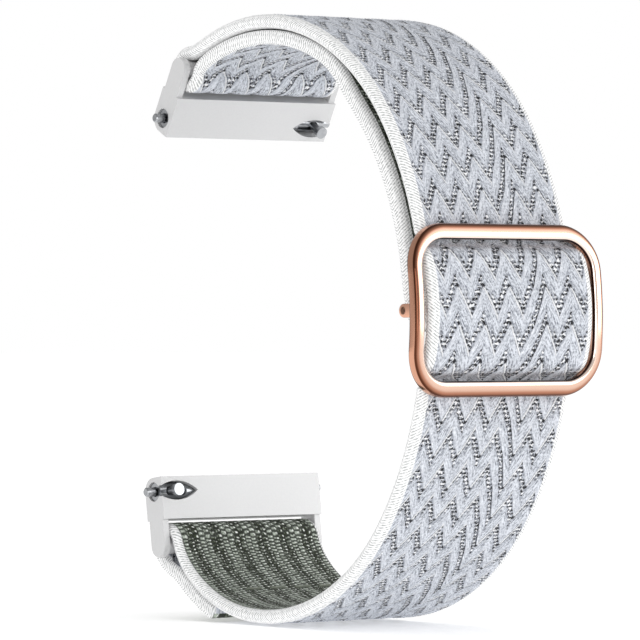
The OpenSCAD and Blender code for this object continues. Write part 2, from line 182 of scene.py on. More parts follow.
LOWER_SHOULDER_C = lower_shoulder + FRONT_C
UPPER_END_C = upper_end + FRONT_C
LOWER_END_C = lower_end + FRONT_C
UPPER_BAR_C = upper_bar + FRONT_C
LOWER_BAR_C = lower_bar + FRONT_C


def at_front(angle, v):
    return FRONT_C + (FRONT_R + v) * ray(angle)


def span_of(length, r):
    return math.degrees(length / r)


BAR_SPAN = math.degrees(math.asin((BUCKLE_H - BUCKLE_BAR_H) / 2 / (FRONT_R + 1.5)))


def lower_run():
    """From the buckle's bottom bar down to the lower link, round its bar and to the sewn end."""
    lead = LOWER_FOLD_LEAD - LOWER_BAR_ANGLE
    wrap_start = 180 - LOWER_BAR_ANGLE - LOWER_WRAP_LEAD
    tail_r = LOWER_END_R + SEWN_PITCH
    settle = LOWER_TAIL_SETTLE - LOWER_BAR_ANGLE
    return (
        bend(FRONT_C, FRONT_R, BUCKLE_ANGLE - BAR_SPAN, -FRONT_HALF)
        + bend(LOWER_SHOULDER_C, SHOULDER_R, -FRONT_HALF, -LOWER_END_START)
        + bend(LOWER_END_C, LOWER_END_R, -LOWER_END_START, lead)
        + pair_to((LOWER_END_C + LOWER_END_R * ray(lead), lead - 90),
                  (LOWER_BAR_C + WRAP_R * ray(wrap_start), wrap_start + 90))
        + bend(LOWER_BAR_C, WRAP_R, wrap_start, 360 - LOWER_BAR_ANGLE)
        + pair_to((LOWER_BAR_C + WRAP_R * ray(-LOWER_BAR_ANGLE), 90 - LOWER_BAR_ANGLE),
                  (LOWER_END_C + tail_r * ray(settle), settle + 90))
        + bend(LOWER_END_C, tail_r, settle, span_of(TAIL_LEN, tail_r) - LOWER_BAR_ANGLE)
    )


def window_run():
    """From the bottom bar over the crossbar to the top bar."""
    rise_at = BUCKLE_ANGLE - HUMP_HALF
    fall_at = BUCKLE_ANGLE + HUMP_HALF
    crest = at_front(BUCKLE_ANGLE, CREST_V)
    level = BUCKLE_ANGLE + 90
    low = at_front(BUCKLE_ANGLE - SHELF_HALF, SHELF_V)
    high = at_front(BUCKLE_ANGLE + SHELF_HALF, SHELF_V)
    low_heading = 2 * bearing(crest - low) - level
    return (
        bend(FRONT_C, FRONT_R, BUCKLE_ANGLE - BAR_SPAN, rise_at)
        + pair_to((at_front(rise_at, 0), rise_at + 90), (low, low_heading))
        + arc_to(low, low_heading, crest)
        + arc_to(crest, level, high)
        + pair_to((high, 2 * bearing(high - crest) - level), (at_front(fall_at, 0), fall_at + 90))
        + bend(FRONT_C, FRONT_R, fall_at, BUCKLE_ANGLE + BAR_SPAN)
    )


def upper_run():
    """From the top bar over the top of the loop and half way round the upper link's bar."""
    lead = UPPER_BAR_ANGLE - UPPER_FOLD_LEAD
    wrap_from = UPPER_BAR_ANGLE - UPPER_WRAP_LEAD
    return (
        bend(FRONT_C, FRONT_R, BUCKLE_ANGLE + BAR_SPAN, FRONT_HALF)
        + bend(UPPER_SHOULDER_C, SHOULDER_R, FRONT_HALF, UPPER_END_START)
        + bend(UPPER_END_C, UPPER_END_R, UPPER_END_START, lead)
        + pair_to((UPPER_END_C + UPPER_END_R * ray(lead), lead + 90),
                  (UPPER_BAR_C + WRAP_R * ray(wrap_from), wrap_from + 90))
        + bend(UPPER_BAR_C, WRAP_R, wrap_from, UPPER_BAR_ANGLE + 90)
    )


def inner_run():
    """From the link's bar back inside the first layer, round the crossbar and to the sewn end."""
    lead = UPPER_BAR_ANGLE - UPPER_FOLD_LEAD
    wrap_to = UPPER_BAR_ANGLE + 180 + UPPER_WRAP_LEAD
    end_r = UPPER_END_R - LAYER_PITCH
    shoulder_r = SHOULDER_R - LAYER_PITCH
    apart_r = SHOULDER_R + RETURN_V
    level = BUCKLE_ANGLE + LOOP_LEVEL_SPAN
    bar_c = at_front(BUCKLE_ANGLE, CROSSBAR_V)
    wrap_a = BUCKLE_ANGLE + LOOP_WRAP_START
    wrap_b = BUCKLE_ANGLE + LOOP_WRAP_END
    tail_v = RETURN_V + SEWN_PITCH
    settle = BUCKLE_ANGLE + LOOP_SETTLE_SPAN
    tail_end = BUCKLE_ANGLE + span_of(LOOP_TAIL_LEN, FRONT_R + tail_v)
    return (
        bend(UPPER_BAR_C, WRAP_R, UPPER_BAR_ANGLE + 90, wrap_to)
        + pair_to((UPPER_BAR_C + WRAP_R * ray(wrap_to), wrap_to + 90),
                  (UPPER_END_C + end_r * ray(lead), lead - 90))
        + bend(UPPER_END_C, end_r, lead, UPPER_END_START)
        + bend(UPPER_SHOULDER_C, shoulder_r, UPPER_END_START, LAYERS_PART_AT)
        + pair_to((UPPER_SHOULDER_C + shoulder_r * ray(LAYERS_PART_AT), LAYERS_PART_AT - 90),
                  (UPPER_SHOULDER_C + apart_r * ray(LAYERS_APART_AT), LAYERS_APART_AT - 90))
        + bend(UPPER_SHOULDER_C, apart_r, LAYERS_APART_AT, FRONT_HALF)
        + bend(FRONT_C, FRONT_R + RETURN_V, FRONT_HALF, level)
        + pair_to((at_front(level, RETURN_V), level - 90),
                  (bar_c + LOOP_WRAP_R * ray(wrap_a), wrap_a + 90))
        + bend(bar_c, LOOP_WRAP_R, wrap_a, wrap_b)
        + pair_to((bar_c + LOOP_WRAP_R * ray(wrap_b), wrap_b + 90),
                  (at_front(settle, tail_v), settle + 90))
        + bend(FRONT_C, FRONT_R + tail_v, settle, tail_end)
    )


def evenly(stations, spacing):
    """The run in equal steps: distance, point and unit heading at each."""
    kept = [stations[0]]
    for s in stations[1:]:
        if np.linalg.norm(s[0] - kept[-1][0]) > 0.004:
            kept.append(s)
    points = np.array([s[0] for s in kept])
    steps = np.linalg.norm(np.diff(points, axis=0), axis=1)
    along = np.concatenate([[0], np.cumsum(steps)])
    headings = np.unwrap(np.radians([s[1] for s in kept]))
    count = max(2, round(along[-1] / spacing))
    at = np.linspace(0, along[-1], count + 1)
    place = np.stack([np.interp(at, along, points[:, i]) for i in (0, 1)], 1)
    turn = np.interp(at, along, headings)
    return at, place, np.stack([np.cos(turn), np.sin(turn)], 1)


# The weave, on a mesh or in a material
class Level:
    """A number over a surface, while a material is being wired."""

    def __init__(self, tree, out):
        self.tree, self.out = tree, out

    def calc(self, kind, *others):
        node = self.tree.nodes.new("ShaderNodeMath")
        node.operation = kind
        for socket, value in zip(node.inputs, (self,) + others):
            if isinstance(value, Level):
                self.tree.links.new(value.out, socket)
            else:
                socket.default_value = value
        return Level(self.tree, node.outputs[0])

    def __add__(self, other):
        return self.calc("ADD", other)

    def __sub__(self, other):
        return self.calc("SUBTRACT", other)

    def __mul__(self, other):
        return self.calc("MULTIPLY", other)

    def __truediv__(self, other):
        return self.calc("DIVIDE", other)

    def __rsub__(self, other):
        return self * -1 + other

    __radd__ = __add__
    __rmul__ = __mul__


def floor(x):
    return x.calc("FLOOR") if isinstance(x, Level) else np.floor(x)


def absolute(x):
    return x.calc("ABSOLUTE") if isinstance(x, Level) else np.abs(x)


def wave(x):
    """Goes from -1 to 1 and back once for each whole number."""
    return (x * math.tau).calc("SINE") if isinstance(x, Level) else np.sin(x * math.tau)


def below(x, limit):
    return x.calc("LESS_THAN", limit) if isinstance(x, Level) else (x < limit) * 1.0


def clamp(x, low, high):
    if isinstance(x, Level):
        return x.calc("MAXIMUM", low).calc("MINIMUM", high)
    return np.clip(x, low, high)


def fract(x):
    return x - floor(x)


def rise(x, start, stop):
    """0 before start and 1 after stop, smooth between them."""
    t = clamp((x - start) / (stop - start), 0, 1)
    return t * t * (3 - 2 * t)


def spot(du, dv, half_u, half_v):
    """1 inside an oval and 0 outside it."""
    du, dv = du / half_u, dv / half_v
    return 1 - rise(du * du + dv * dv, 0.35, 1.2)


# Widths and lengths of the weave, in mm; SLOPE is the climb of a leg for each mm across
CHEVRON = 2.8
REPEAT = 3.35
SLOPE = 1.95
PICK = REPEAT / 8
LONG_LEG_AT = 2.2
LONG_LEG_EXTRA = 1.25
RIM_AT = 8.2
RIM_AT_BACK = {"wide": 7.75, "narrow": 8.42}
FLOAT_LEN = CHEVRON / 4
RIM_PITCH = 0.3


def zigzag(u):
    """Height of the zigzag line at u, 1 on the legs that fall to the right, and how far
    down its leg the line is, from 0 at a peak to 1 at a valley."""
    skip = clamp(u - LONG_LEG_AT, 0, LONG_LEG_EXTRA)
    phase = fract((u - skip - 0.9) / CHEVRON)
    down = 1 - absolute(2 * phase - 1)
    level = down * (SLOPE * CHEVRON / 2) + skip * (REPEAT / LONG_LEG_EXTRA) + 0.2
    return level, below(phase, 0.5), down


def front_weave(u, y):
    """Relief in mm and the shares of broad rib, narrow rib, open stitches and ground. They also
    give the band below the narrow rib, where painted shade lies in dark pits, and the deep hole at
    its foot, which is also painted dark as shade."""
    line, falling, down = zigzag(u)
    w = fract((y - line) / REPEAT)
    v = fract(w + 0.14)
    broad = rise(v, 0.0, 0.05) * (1 - rise(v, 0.22, 0.3)) * falling
    narrow = rise(w, 0.0, 0.04) * (1 - rise(w, 0.08, 0.2)) * (1 - falling)
    row = rise(w, 0.1, 0.14) * (1 - rise(w, 0.2, 0.26)) * (1 - falling)
    beside = rise(v, 0.22, 0.28) * (1 - rise(v, 0.62, 0.78))
    under_peak = (1 - rise(down, 0.25, 0.55)) * rise(w, 0.14, 0.2) * (1 - rise(w, 0.4, 0.55))
    stitches = beside * falling + under_peak * (1 - falling)
    ground = rise(w, 0.1, 0.9)
    hole = spot((1 - down) * CHEVRON / 2, (w - 0.13) * REPEAT, 0.13, 0.17)
    relief = broad * 0.02 + narrow * 0.07 + (1 - broad - narrow) * (ground * 0.06 - 0.03)
    return relief - stitches * 0.04, broad, narrow, stitches, ground, row, hole


def stitch_marks(u, y):
    """Shares of the pale loops in the open stitches and of the holes between them, where the finish
    paints dark shade.
    """
    line = zigzag(u)[0]
    row = (floor(y / PICK) + 0.5) * PICK
    edge = floor(y / PICK + 0.5) * PICK
    across = REPEAT / SLOPE
    row_w = fract((row - line) / REPEAT)
    edge_w = fract((edge - line) / REPEAT)
    bead = spot((row_w - 0.33) * across, y - row, 0.22, 0.11)
    pit = spot(absolute((edge_w - 0.33) * across) - 0.2, y - edge, 0.19, 0.16)
    return bead, pit


def back_weave(u, y):
    """Relief in mm and the shares of grey yarn, the gap between yarns that the finish paints dark
    as shade, and white dot.
    """
    column = fract(u / CHEVRON + wave(y / REPEAT) * 0.05)
    grey = rise(absolute(column - 0.5), 0.14, 0.32)
    lane = u / FLOAT_LEN
    row = fract(y / PICK + floor(lane) * 0.5) - 0.5
    across = fract(lane) - 0.5
    yarn = (1 - rise(absolute(row), 0.15, 0.38)) * (1 - rise(absolute(across), 0.3, 0.47) * 0.8)
    dot = spot((across - 0.22) * FLOAT_LEN, row * PICK, 0.14, 0.1)
    relief = yarn * 0.06 + dot * 0.03 - 0.03
    return relief, grey, 1 - yarn, dot


def rim_weave(c, y):
    """Relief in mm of the braided edge; c is the distance from the middle of the edge."""
    stitch = wave(y / RIM_PITCH + absolute(c) * 2.4) * 0.5 + 0.5
    strand = wave(absolute(c) / 0.55 + 0.25) * 0.5 + 0.5
    return stitch * 0.03 + strand * 0.02 - 0.02, stitch, strand


# Cloth
# MESH_SHARE is how much of the back's and the edge's relief is in the mesh; the rest is bump
FACE_STEP = 0.165
MESH_SHARE = 0.25
END_ROUND = 0.45
EDGE_R = CLOTH_T / 2


def section():
    """Once round the webbing's cross-section, from the middle of one edge:
    place across and through it, the way it faces, and the distance from the edge's middle."""
    flat = WEB_W / 2 - EDGE_R
    face = np.linspace(-flat, flat, round(2 * flat / FACE_STEP) + 1)
    turn = np.radians(np.linspace(0, 90, 9))
    left = np.stack([-flat - EDGE_R * np.cos(turn), EDGE_R * np.sin(turn)], 1)
    left_n = np.stack([-np.cos(turn), np.sin(turn)], 1)
    left_c = EDGE_R * turn
    top = np.stack([face[1:-1], np.full(len(face) - 2, EDGE_R)], 1)
    top_n = np.tile([0.0, 1.0], (len(top), 1))
    top_c = EDGE_R * math.pi / 2 + flat - np.abs(top[:, 0])
    place = np.concatenate([left, top, left[::-1] * [-1, 1]])
    faces = np.concatenate([left_n, top_n, left_n[::-1] * [-1, 1]])
    rim = np.concatenate([left_c, top_c, left_c[::-1]])
    place = np.concatenate([place, place[-2::-1] * [1, -1]])
    faces = np.concatenate([faces, faces[-2::-1] * [1, -1]])
    rim = np.concatenate([rim, rim[-2::-1]])
    return place, faces, rim


def woven(name, stations, front_side, pattern_from, spread=0.0):
    """A closed length of webbing. front_side is 90 where its patterned face lies to the left
    of the way the stations run, and -90 where it lies to the right. spread is the share by
    which it is wider between its two ends."""
    along, place, heading = evenly(stations, FACE_STEP)
    ring, ring_n, rim = section()
    columns, count = len(ring), len(along)
    bm = bmesh.new()
    bmesh.ops.create_grid(bm, x_segments=columns - 1, y_segments=count - 1, size=0.5)
    mesh = bpy.data.meshes.new(name)
    bm.to_mesh(mesh)
    bm.free()
    grid = np.zeros(len(mesh.vertices) * 3, np.float32)
    mesh.vertices.foreach_get("co", grid)
    grid = grid.reshape(-1, 3)
    i = np.rint((grid[:, 0] + 0.5) * (columns - 1)).astype(int)
    j = np.rint((grid[:, 1] + 0.5) * (count - 1)).astype(int)
    u, d = ring[i, 0], ring[i, 1]
    y = pattern_from + along[j]
    c = rim[i]
    front = front_weave(u, y)[0]
    back = back_weave(u, y)[0] * MESH_SHARE
    edge = rim_weave(c, y)[0] * MESH_SHARE
    relief = np.where(d > 0, front, back)
    border = rise(np.abs(u), RIM_AT - 0.1, RIM_AT + 0.1)
    relief = relief * (1 - border) + edge * border
    to_end = np.minimum(along[j], along[-1] - along[j])
    rounded = np.sqrt(np.clip(1 - (1 - np.clip(to_end / END_ROUND, 0, 1)) ** 2, 0, 1))
    offset = (d + ring_n[i, 1] * relief) * rounded
    wider = 1 + spread * rise(to_end, 0.1, 1.3)
    across = u * wider + ring_n[i, 0] * relief * rounded
    side = np.stack([-heading[:, 1], heading[:, 0]], 1) * (1 if front_side > 0 else -1)
    spot_at = place[j] + offset[:, None] * side[j]
    co = np.stack([across, -spot_at[:, 0], spot_at[:, 1]], 1) * MM
    mesh.vertices.foreach_set("co", co.astype(np.float32).ravel())
    corner = np.zeros(len(mesh.loops), np.int32)
    mesh.loops.foreach_get("vertex_index", corner)
    for title, values in (("weave", (u, y)), ("rim", (c, d))):
        layer = mesh.uv_layers.new(name=title)
        layer.data.foreach_set("uv", np.stack(values, 1)[corner].astype(np.float32).ravel())
    return closed(name, mesh)


def closed(name, mesh):
    """Joins what meets in a mesh, turns its faces outwards and makes it a smooth object."""
    bm = bmesh.new()
    bm.from_mesh(mesh)
    bmesh.ops.remove_doubles(bm, verts=bm.verts, dist=1e-6)
    bmesh.ops.dissolve_degenerate(bm, edges=bm.edges, dist=1e-7)
    bmesh.ops.recalc_face_normals(bm, faces=bm.faces)
    for f in bm.faces:
        f.smooth = True
    bm.to_mesh(mesh)
    bm.free()
    obj = bpy.data.objects.new(name, mesh)
    bpy.context.scene.collection.objects.link(obj)
    return obj


lower_cloth = woven("webbing_lower_cloth", lower_run(), 90, 0.0)
window_stations = window_run()
window_len = evenly(window_stations, FACE_STEP)[0][-1]
window_cloth = woven("webbing_window_cloth", window_stations, -90, 0.0, 0.1)
upper_stations = upper_run()
upper_len = evenly(upper_stations, FACE_STEP)[0][-1]
upper_cloth = woven("webbing_upper_cloth", upper_stations, -90, window_len)
inner_cloth = woven("webbing_inner_cloth", inner_run(), -90, window_len + upper_len)

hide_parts("webbing_lower")
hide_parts("webbing_mid")
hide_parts("webbing_upper")
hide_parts("webbing_return", "webbing_end_loop")


# Buckle
def rounded_outline(half_w, half_h, r, corner_steps=20, side_steps=(24, 16)):
    """Once round a rounded rectangle, in matching steps for the outer and inner outline."""
    points = []
    for quarter in range(4):
        sx, sy = ((1, 1), (-1, 1), (-1, -1), (1, -1))[quarter]
        centre = np.array([sx * (half_w - r), sy * (half_h - r)])
        for k in range(corner_steps + 1):
            points.append(centre + r * ray(90 * quarter + 90 * k / corner_steps))
        nx, ny = ((-1, 1), (-1, -1), (1, -1), (1, 1))[quarter]
        after = np.array([nx * (half_w - r), ny * (half_h - r)]) + r * ray(90 * quarter + 90)
        steps = side_steps[quarter % 2]
        for k in range(1, steps):
            points.append(points[-k] + (after - points[-k]) * k / steps)
    return np.array(points + points[:1])


def buckle_place(x, t, v):
    """A point of the buckle: across the band, along its front and outward from the webbing."""
    r = FRONT_R + v
    forward, up = FRONT_C + (math.sqrt(r * r - t * t) * ray(BUCKLE_ANGLE)
                             + t * ray(BUCKLE_ANGLE + 90))
    return Vector((x, -forward, up)) * MM


def ring():
    """The polished ring: a soft-cornered bar bent round the rounded opening and the band.
    Its map holds the turn round the bar and the place along it."""
    outer = rounded_outline(BUCKLE_W / 2, BUCKLE_H / 2, BUCKLE_CORNER_R)
    inner = rounded_outline(BUCKLE_W / 2 - BUCKLE_SIDE_W, BUCKLE_H / 2 - BUCKLE_BAR_H,
                            BUCKLE_CORNER_R - CORNER_DROP)
    around, count = 72, len(outer)
    bm = bmesh.new()
    bmesh.ops.create_grid(bm, x_segments=around, y_segments=count - 1, size=0.5)
    uv = bm.loops.layers.uv.new("section")
    for f in bm.faces:
        for corner in f.loops:
            corner[uv].uv = (corner.vert.co.x + 0.5, corner.vert.co.y + 0.5)
    for v in bm.verts:
        turn = math.tau * (v.co.x + 0.5)
        j = round((v.co.y + 0.5) * (count - 1))
        cos, sin = math.cos(turn), math.sin(turn)
        out = math.copysign(abs(cos) ** (2 / SQUARENESS), cos)
        deep = math.copysign(abs(sin) ** (2 / SQUARENESS), sin)
        x, t = (outer[j] + inner[j]) / 2 + out * (outer[j] - inner[j]) / 2
        v.co = buckle_place(x, t, RING_BACK + RING_DEPTH / 2 * (1 + deep))
    mesh = bpy.data.meshes.new("buckle_ring")
    bm.to_mesh(mesh)
    bm.free()
    return closed("buckle_ring", mesh)


def ears():
    """The two small ears behind the side bars, in which the crossbar's ends are held."""
    bm = bmesh.new()
    for side in (-1, 1):
        turns = [math.pi / 2 + math.pi * k / 16 for k in range(17)]
        outline = [(CROSSBAR_V + EAR_R * math.cos(a), EAR_R * math.sin(a)) for a in turns]
        outline += [(RING_BACK + EAR_BED, -EAR_R), (RING_BACK + EAR_BED, EAR_R)]
        face = bm.faces.new([bm.verts.new(buckle_place(side * EAR_IN_X, t, v))
                             for v, t in outline])
        grown = bmesh.ops.extrude_face_region(bm, geom=[face])["geom"]
        moved = [g for g in grown if isinstance(g, bmesh.types.BMVert)]
        step = side * (EAR_OUT_X - EAR_IN_X) * MM
        bmesh.ops.translate(bm, verts=moved, vec=(step, 0, 0))
    bmesh.ops.recalc_face_normals(bm, faces=bm.faces)
    rims = [e for e in bm.edges if e.calc_face_angle(0) > 1 and e.calc_length() < 2 * MM
            and abs(e.verts[0].co.x - e.verts[1].co.x) < 1e-7]
    bmesh.ops.bevel(bm, geom=rims, offset=EAR_BEVEL * MM, segments=3, profile=0.5,
                    affect="EDGES", material=-1)
    mesh = bpy.data.meshes.new("buckle_ears")
    bm.to_mesh(mesh)
    bm.free()
    return closed("buckle_ears", mesh)


buckle_ring = ring()
buckle_ears = ears()
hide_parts("buckle_frame")

# The coils inside the spring bars
SPRING_TURNS = 14
SPRING_R = 0.45
WIRE_R = 0.1
WIRE_SIDES = 8
TURN_STEPS = 14


def half_coil(side, plunger, toward):
    """Half of a spring bar's coil, from the middle of the bar to the plunger at one end."""
    low, high = (Vector(corner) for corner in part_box(side + "_bar_spring"))
    middle = (low + high) / 2
    reach = (high.x - low.x) / 2 - WIRE_R * MM
    steps = SPRING_TURNS // 2 * TURN_STEPS
    bm = bmesh.new()
    bmesh.ops.create_circle(bm, cap_ends=True, segments=WIRE_SIDES, radius=WIRE_R * MM)
    bmesh.ops.translate(bm, verts=bm.verts, vec=middle + Vector((0, SPRING_R * MM, 0)))
    bmesh.ops.spin(bm, geom=bm.verts[:] + bm.edges[:] + bm.faces[:], cent=middle,
                   axis=(1, 0, 0), dvec=(toward * reach / steps, 0, 0),
                   angle=math.tau * SPRING_TURNS / 2, steps=steps, use_duplicate=False)
    mesh = bpy.data.meshes.new(f"{side}_{plunger}_coil")
    bm.to_mesh(mesh)
    bm.free()
    coil = closed(f"{side}_{plunger}_coil", mesh)
    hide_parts(side + "_bar_spring")
    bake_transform(coil)
    return coil


coils = [half_coil(side, plunger, toward) for side, plunger, toward in
         (("upper", "release", 1), ("upper", "plain", -1),
          ("lower", "release", -1), ("lower", "plain", 1))]


# Materials
def material(name, **sockets):
    m = bpy.data.materials.new(name)
    m.use_nodes = True
    shader = m.node_tree.nodes["Principled BSDF"]
    for key, value in sockets.items():
        shader.inputs[key.replace("_", " ")].default_value = value
    return m, m.node_tree, shader


def srgb(r, g, b):
    def linear(c):
        c /= 255
        return c / 12.92 if c <= 0.04045 else ((c + 0.055) / 1.055) ** 2.4

    return (linear(r), linear(g), linear(b), 1)


YARN_DIM = srgb(120, 125, 136)
YARN_PALE = srgb(222, 226, 234)
RIB_DIM = srgb(164, 169, 180)
RIB_PALE = srgb(241, 244, 250)
NARROW_RIB = srgb(252, 253, 255)
KNOT_DIM = srgb(150, 155, 166)
KNOT_PALE = srgb(208, 212, 221)
LOOP_PALE = srgb(252, 253, 255)
STITCH_PIT_SHADE = srgb(6, 7, 12)
RIB_FOOT_SHADE = srgb(34, 38, 48)
RIB_HOLE_SHADE = srgb(18, 20, 28)
OLIVE_DARK = srgb(42, 52, 26)
OLIVE_PALE = srgb(194, 203, 190)
OLIVE_GAP_SHADE = srgb(18, 23, 12)
OLIVE_DOT = srgb(252, 255, 250)
EDGE_DIM = srgb(176, 178, 178)
EDGE_WHITE = srgb(255, 255, 255)
# How fine each noise is, for each mm on the cloth and for each m on the metal and the thread
DRIFT_SCALE = 1.3
JITTER_SCALE = 2.6
TWITCH_SCALE = 3.4
FUZZ_SCALE = 4.6
STRAND_SCALE = 2.0
MOTTLE_SCALE = 1.6
GOLD_GRAIN = 900.0
LINK_GRAIN = 6000.0
BAR_GRAIN = 2500.0
THREAD_GRAIN = 4000.0


def blended(tree, share, low, high):
    """One colour or the other by a share; each is a colour or a socket."""
    node = tree.nodes.new("ShaderNodeMix")
    node.data_type = "RGBA"
    tree.links.new(share.out, node.inputs["Factor"])
    for socket, value in ((node.inputs[6], low), (node.inputs[7], high)):
        if isinstance(value, tuple):
            socket.default_value = value
        else:
            tree.links.new(value, socket)
    return node.outputs[2]


def noise(tree, vector, scale, detail=2.0):
    node = tree.nodes.new("ShaderNodeTexNoise")
    node.inputs["Scale"].default_value = scale
    node.inputs["Detail"].default_value = detail
    tree.links.new(vector, node.inputs["Vector"])
    return Level(tree, node.outputs["Fac"])


def combined(tree, x, y, z=0.0):
    node = tree.nodes.new("ShaderNodeCombineXYZ")
    for socket, value in zip(node.inputs, (x, y, z)):
        if isinstance(value, Level):
            tree.links.new(value.out, socket)
        else:
            socket.default_value = value
    return node.outputs[0]


def uv_pair(tree, title):
    node = tree.nodes.new("ShaderNodeUVMap")
    node.uv_map = title
    split = tree.nodes.new("ShaderNodeSeparateXYZ")
    tree.links.new(node.outputs[0], split.inputs[0])
    return Level(tree, split.outputs[0]), Level(tree, split.outputs[1])


def bumped(tree, shader, height, distance):
    node = tree.nodes.new("ShaderNodeBump")
    node.inputs["Distance"].default_value = distance
    tree.links.new(height.out, node.inputs["Height"])
    tree.links.new(node.outputs[0], shader.inputs["Normal"])


def webbing_finish(back_rim):
    """The woven cloth; back_rim is how much of the white edge shows on its olive side."""
    m, tree, shader = material(f"chevron_webbing_{back_rim}_rim", Roughness=0.82,
                               Sheen_Weight=0.06, Sheen_Roughness=0.5)
    u, y = uv_pair(tree, "weave")
    c, d = uv_pair(tree, "rim")
    drift = noise(tree, combined(tree, u, y), DRIFT_SCALE) - 0.5
    jitter = noise(tree, combined(tree, y, u), JITTER_SCALE, 1.0) - 0.5
    twitch = noise(tree, combined(tree, y + 40, u), TWITCH_SCALE, 1.0) - 0.5
    fuzz = clamp((noise(tree, combined(tree, u, y), FUZZ_SCALE, 3.0) - 0.5) * 4.0 + 0.5, 0, 1)
    uu, yy = u + drift * 0.1, y + drift * 0.12
    bead, pit = stitch_marks(uu + jitter * 0.8, yy + twitch * 0.6)
    falling = zigzag(uu)[1]
    relief, broad, narrow, stitches, ground, row, hole = front_weave(uu, yy)
    along = falling * 2 - 1
    lengthwise = combined(tree, (y - u * SLOPE * along) * 4.0, u * 1.1)
    strand = noise(tree, lengthwise, STRAND_SCALE)
    strand = clamp((strand - 0.5) * 4.5 + 0.5, 0, 1)
    hair = strand * 0.6 + fuzz * 0.4
    # ground * 0.35 darkens the smooth yarn just below each rib line and lightens it towards the
    # next one: painted shade following the relief.
    smooth = blended(tree, clamp(ground * 0.35 + (hair - 0.5) * 2 + 0.46, 0, 1),
                     YARN_DIM, YARN_PALE)
    ribbed = blended(tree, hair, RIB_DIM, RIB_PALE)
    front = blended(tree, broad, smooth, ribbed)
    front = blended(tree, narrow * (strand * 0.25 + 0.75), front, NARROW_RIB)
    pit = pit * rise(fuzz, 0.1, 0.45)
    knot = blended(tree, bead, blended(tree, hair, KNOT_DIM, KNOT_PALE), LOOP_PALE)
    # The holes between the loops are painted near-black: painted shade inside them.
    knot = blended(tree, pit, knot, STITCH_PIT_SHADE)
    front = blended(tree, stitches, front, knot)
    # Dark pits in the band below the narrow rib: the rib's painted shadow.
    front = blended(tree, row * pit, front, RIB_FOOT_SHADE)
    # The deep hole at the rib's foot is painted near-black: painted shade.
    front = blended(tree, hole, front, RIB_HOLE_SHADE)
    low, grey, gap, dot = back_weave(uu + jitter * 0.3, yy - jitter * 0.2)
    mottle = noise(tree, combined(tree, u, y), MOTTLE_SCALE)
    back = blended(tree, clamp(grey * 0.7 + (mottle - 0.5) * 2 + (fuzz - 0.5) * 0.7 + 0.12, 0, 1),
                   OLIVE_DARK, OLIVE_PALE)
    # The gaps between the yarns are painted near-black: painted shade.
    back = blended(tree, gap * 0.9, back, OLIVE_GAP_SHADE)
    back = blended(tree, dot * rise(fuzz, 0.3, 0.6), back, OLIVE_DOT)
    braid, stitch, strand_row = rim_weave(c + drift * 0.05, y + drift * 0.1)
    edge = blended(tree, clamp(stitch * 1.3 + strand_row * 0.3 + (fuzz - 0.5) * 0.8, 0, 1),
                   EDGE_DIM, EDGE_WHITE)
    facing = rise(d, -0.1, 0.1)
    both = blended(tree, facing, back, front)
    rim_from = RIM_AT + (1 - facing) * (RIM_AT_BACK[back_rim] - RIM_AT)
    border = rise(absolute(u) - rim_from, -0.08, 0.08)
    colour = blended(tree, border, both, edge)
    tree.links.new(colour, shader.inputs["Base Color"])
    open_depth = stitches * (pit * 0.1 - bead * 0.06) + (row * pit + hole) * 0.1
    face_height = (relief + strand * 0.03 - open_depth) * facing + low * (1 - facing)
    height = face_height * (1 - border) + braid * border + fuzz * 0.012
    bumped(tree, shader, height * 10, 0.1 * MM)
    return m


def rose_gold():
    """The crossbar's and its ears' polish."""
    m, tree, shader = material("rose_gold_bar", Metallic=1.0, Roughness=0.35)
    coordinates = tree.nodes.new("ShaderNodeTexCoord")
    grain = noise(tree, coordinates.outputs["Object"], GOLD_GRAIN)
    tone = blended(tree, grain, srgb(222, 168, 142), srgb(234, 182, 156))
    tree.links.new(tone, shader.inputs["Base Color"])
    return m


def ring_gold_painted_light():
    """The ring's rose gold with painted light across the bar: a pale painted highlight on the face,
    brown painted shade on the outer roll, and dark painted lines at the outer corner and the inner
    edge.
    """
    m, tree, shader = material("rose_gold_ring_painted_light", Metallic=1.0, Roughness=0.14)
    coordinates = tree.nodes.new("ShaderNodeTexCoord")
    grain = noise(tree, coordinates.outputs["Object"], GOLD_GRAIN)
    turn = uv_pair(tree, "section")[0]
    inward = absolute(fract(turn + 0.5) - 0.5)
    tone = blended(tree, grain, srgb(206, 152, 126), srgb(210, 157, 131))
    # Bands by the turn round the bar stand in for light on the rounded bar. They run from a dark
    # painted line at the outer corner, through brown then pale painted shading over the face, to a
    # near-white painted highlight. Then come a dark painted line of shade at the inner edge and the
    # tan inner wall.
    for start, stop, shade in ((0.05, 0.08, srgb(86, 48, 32)), (0.11, 0.20, srgb(176, 122, 98)),
                               (0.19, 0.26, srgb(222, 186, 166)), (0.26, 0.35, srgb(246, 226, 214)),
                               (0.37, 0.40, srgb(50, 28, 22)), (0.45, 0.48, srgb(214, 172, 150))):
        tone = blended(tree, rise(inward, start, stop), tone, shade)
    tree.links.new(tone, shader.inputs["Base Color"])
    return m


def link_steel():
    m, tree, shader = material("satin_link", Metallic=0.35, Roughness=0.5)
    coordinates = tree.nodes.new("ShaderNodeTexCoord")
    grain = noise(tree, coordinates.outputs["Object"], LINK_GRAIN)
    tone = blended(tree, grain, srgb(208, 208, 209), srgb(216, 216, 216))
    tree.links.new(tone, shader.inputs["Base Color"])
    bumped(tree, shader, grain, 0.001 * MM)
    return m


def bar_steel():
    m, tree, shader = material("bar_steel", Metallic=1.0, Roughness=0.28)
    coordinates = tree.nodes.new("ShaderNodeTexCoord")
    grain = noise(tree, coordinates.outputs["Object"], BAR_GRAIN)
    tone = blended(tree, grain, srgb(150, 152, 156), srgb(186, 188, 190))
    tree.links.new(tone, shader.inputs["Base Color"])
    return m


